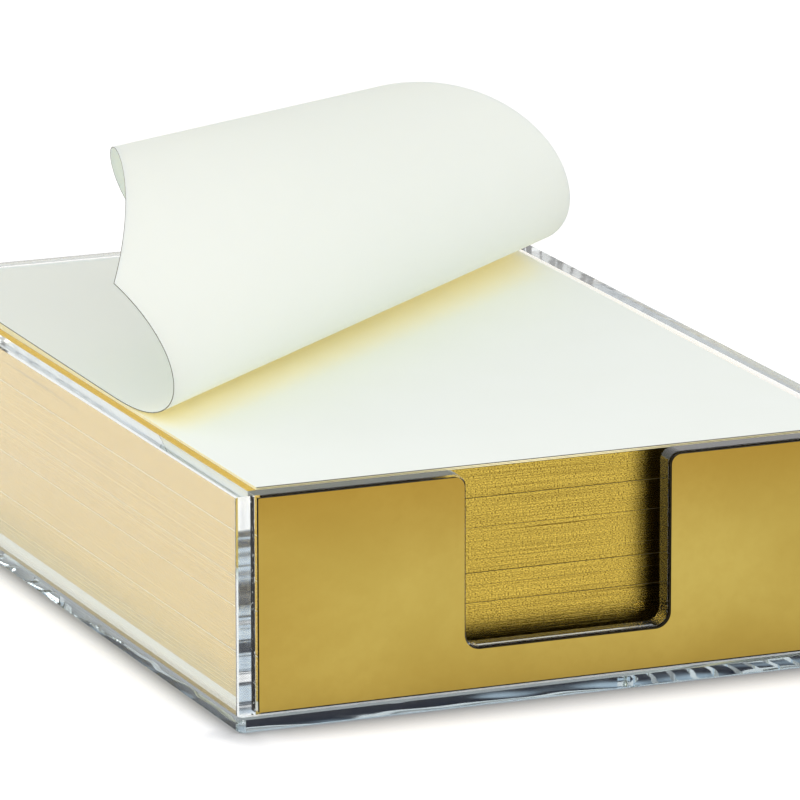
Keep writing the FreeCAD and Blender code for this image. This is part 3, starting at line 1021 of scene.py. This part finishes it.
def make_floor():
    """A white table with the tray's contact shadow."""
    material, tree, output = new_material("studio_floor")
    _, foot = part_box("base_plate")
    place = own_point(tree)
    away = add(tree, "ShaderNodeVectorMath", {0: place}, operation="ABSOLUTE").outputs[0]
    place, away = parts_of(tree, place), parts_of(tree, away)
    dark = maths(tree, "MAXIMUM", contact_shade(tree, away, foot), SHADED_LEAST)
    shade = mixed(tree, shaded_part(tree, place, away, foot), WHITE, dark)
    ahead = between(tree, away[Y], foot.y + COOL_REACH, foot.y)
    shade = mixed(tree, ahead, shade, COOL_TINT, "MULTIPLY")
    lift = maths(tree, "MULTIPLY", seen_directly(tree), FLOOR_LIFT)
    glow = add(tree, "ShaderNodeEmission", {"Color": shade, "Strength": lift}).outputs[0]
    tone = mixed(tree, 1.0, FLOOR_COLOUR, shade, "MULTIPLY")
    matt = add(tree, "ShaderNodeBsdfDiffuse", {"Color": tone}).outputs[0]
    both = add(tree, "ShaderNodeAddShader", {0: glow, 1: matt})
    tree.links.new(both.outputs[0], output.inputs[0])
    mesh = bmesh.new()
    bmesh.ops.create_grid(mesh, x_segments=1, y_segments=1, size=FLOOR_SIZE / 2)
    floor = object_from("floor", mesh, material)
    floor.location.z = cad_low.z
    return floor


floor = make_floor()
print("floor at height", round(floor.location.z / MM, 2), "mm")

# %% [markdown]
# ## Surround
#
# A pale surround, a little brighter on the left than on the right, lights the object softly. The
# camera, glass and metal see it plain white. Clear edges need something dark to bend, or they
# vanish: a real studio has its dim corners. Black cards beside the tray could give that, and would
# show in the metal too. So a narrow navy band low behind the object, below a faintly blue sky, is
# seen by refracted rays alone.

# %% Surround
SURROUND_LEFT = 0.90
SURROUND_RIGHT = 0.62
BAND_LOW = 0.26
BAND_HIGH = 0.305
BAND_SOFT = 0.015
BEHIND_FROM = 0.1
BEHIND_FULL = 0.3
BAND_NAVY = linear(16, 28, 48)
HORIZON_BLUE = linear(198, 214, 228)


def make_surround():
    """A white world with a dark band for the refracted rays."""
    world = bpy.data.worlds.new("surround")
    bpy.context.scene.world = world
    world.use_nodes = True
    tree = world.node_tree
    tree.nodes.clear()
    way = parts_of(tree, add(tree, "ShaderNodeTexCoord").outputs["Generated"])
    even = add(tree, "ShaderNodeMapRange", {0: way[X], 1: -1.0, 2: 1.0, 3: SURROUND_LEFT,
                                            4: SURROUND_RIGHT}).outputs[0]
    strength = add(tree, "ShaderNodeMapRange", {0: seen_directly(tree), 3: even, 4: 1.0})
    under = between(tree, way[Z], BAND_LOW, BAND_LOW + BAND_SOFT)
    over = between(tree, way[Z], BAND_HIGH, BAND_HIGH + BAND_SOFT, 1.0, 0.0)
    behind = between(tree, way[Y], BEHIND_FROM, BEHIND_FULL)
    band = maths(tree, "MULTIPLY", maths(tree, "MULTIPLY", under, over), behind)
    room = mixed(tree, band, mixed(tree, over, WHITE, HORIZON_BLUE), BAND_NAVY)
    refracted = add(tree, "ShaderNodeLightPath").outputs["Is Transmission Ray"]
    colour = mixed(tree, refracted, WHITE, room)
    light = add(tree, "ShaderNodeBackground", {"Color": colour, "Strength": strength.outputs[0]})
    output = tree.nodes.new("ShaderNodeOutputWorld")
    tree.links.new(light.outputs[0], output.inputs[0])
    return world


print("surround:", make_surround().name)

# %% [markdown]
# ## Lamps
#
# Two large soft lamps: one in front, so that the brass and the gilding have something to shine
# with, and a weak one on the left. Small lamps would be simpler, and would leave hard dots in the
# clear walls. Light is thrown about inside acrylic many times before it gets out, so its paths are
# allowed to be long.

# %% Lamps and light paths
LONG_PATH = 48
MATT_PATH = 12


def soft_lamp(name, place, aim, side, power):
    """A large square lamp that faces a point."""
    lamp = bpy.data.lights.new(name, "AREA")
    lamp.size = side
    lamp.energy = power
    holder = bpy.data.objects.new(name, lamp)
    holder.location = place
    holder.rotation_euler = (Vector(place) - Vector(aim)).to_track_quat("Z", "Y").to_euler()
    holder.visible_camera = False
    bpy.context.scene.collection.objects.link(holder)


middle = (cad_low + cad_high) / 2
soft_lamp("front_key", place=(-0.55, -1.6, 0.65), aim=middle, side=1.0, power=14.0)
soft_lamp("left_fill", place=(-1.3, 0.2, 0.7), aim=middle, side=0.9, power=2.5)
cycles = bpy.context.scene.cycles
cycles.max_bounces = LONG_PATH
cycles.diffuse_bounces = MATT_PATH
cycles.glossy_bounces = LONG_PATH
cycles.transmission_bounces = LONG_PATH
cycles.transparent_max_bounces = LONG_PATH
print("lamps: 2, longest path:", cycles.max_bounces)

# %% [markdown]
# ## Camera
#
# A long lens from the front left and a little above, so that the tray's front runs off the right
# side of the frame. A short lens close by could take in the same part, but it would splay the
# tray's sides, and the tray looks calm and true through a long one.

# %% Camera
CAMERA_PLACE = Vector((-494.80, -1204.48, 352.67)) * MM
CAMERA_AZIMUTH = math.radians(22.57)
CAMERA_ELEVATION = math.radians(13.97)
CAMERA_ROLL = math.radians(-0.08)
CAMERA_LENS = 365.3
CAMERA_SENSOR = 36.0

lens = bpy.data.cameras.new("camera")
lens.lens = CAMERA_LENS
lens.sensor_width = CAMERA_SENSOR
camera = bpy.data.objects.new("camera", lens)
level = math.cos(CAMERA_ELEVATION)
look = Vector((math.sin(CAMERA_AZIMUTH) * level, math.cos(CAMERA_AZIMUTH) * level,
               -math.sin(CAMERA_ELEVATION)))
turn = look.to_track_quat("-Z", "Y").to_matrix().to_4x4()
roll = Matrix.Rotation(CAMERA_ROLL, 4, "Z")
camera.matrix_world = Matrix.Translation(CAMERA_PLACE) @ turn @ roll
bpy.context.scene.collection.objects.link(camera)
bpy.context.scene.camera = camera
bpy.context.scene.view_settings.view_transform = "Standard"
print("camera", round((middle - CAMERA_PLACE).length, 2), "m away")
